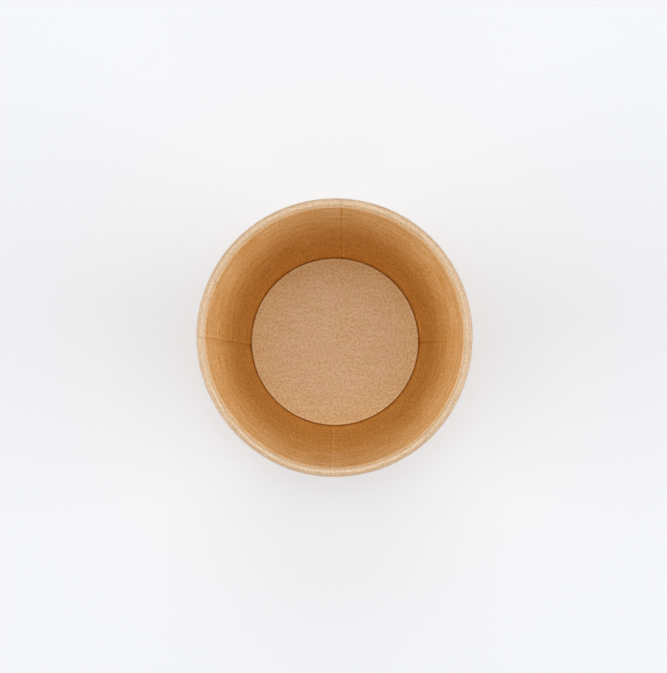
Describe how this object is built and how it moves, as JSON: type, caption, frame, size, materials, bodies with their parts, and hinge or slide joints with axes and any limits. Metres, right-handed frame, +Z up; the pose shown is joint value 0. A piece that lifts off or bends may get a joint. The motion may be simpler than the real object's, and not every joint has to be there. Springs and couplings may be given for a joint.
{
  "type": "paper soup container",
  "caption": "Open conical soup container of kraft board with a rolled rim, a lapped side seam and a recessed base in a folded foot.",
  "frame": {"origin": "centre of the foot, on the surface that the container stands on", "axes": "+Z up along the container's axis, -X towards the side seam"},
  "size_m": [0.098, 0.098, 0.099],
  "materials": {
    "coated_kraft_board": "satin",
    "base_board": "matte"
  },
  "bodies": {
    "root": {"sidewall": "coated_kraft_board", "base_disc": "base_board"}
  },
  "joints": []
}
